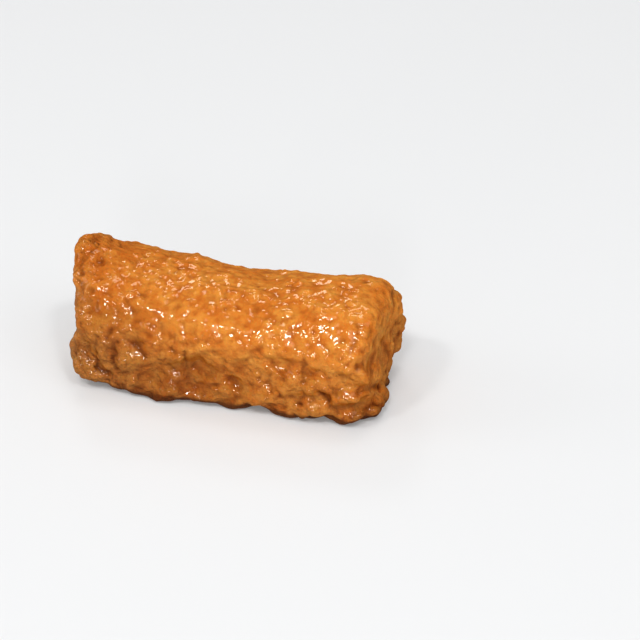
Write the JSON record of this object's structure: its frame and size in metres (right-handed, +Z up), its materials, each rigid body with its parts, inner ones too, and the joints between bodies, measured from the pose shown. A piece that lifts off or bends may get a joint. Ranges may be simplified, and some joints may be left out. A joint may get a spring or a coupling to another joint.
{
  "type": "inari sushi",
  "caption": "Bale of seasoned rice closed inside a glazed, simmered fried-tofu pouch, lying on its folded mouth.",
  "frame": {"origin": "middle of the box round the pouch, on the surface that it lies on", "axes": "+X along the bale, away from the pulled-up ear; +Z up; the front faces -Y"},
  "size_m": [0.083, 0.0404, 0.0328],
  "materials": {
    "tofu_skin": "amber fried-tofu skin, blistered, wet with a clear sweet glaze"
  },
  "bodies": {
    "root": {"pouch": "tofu_skin"}
  },
  "joints": []
}
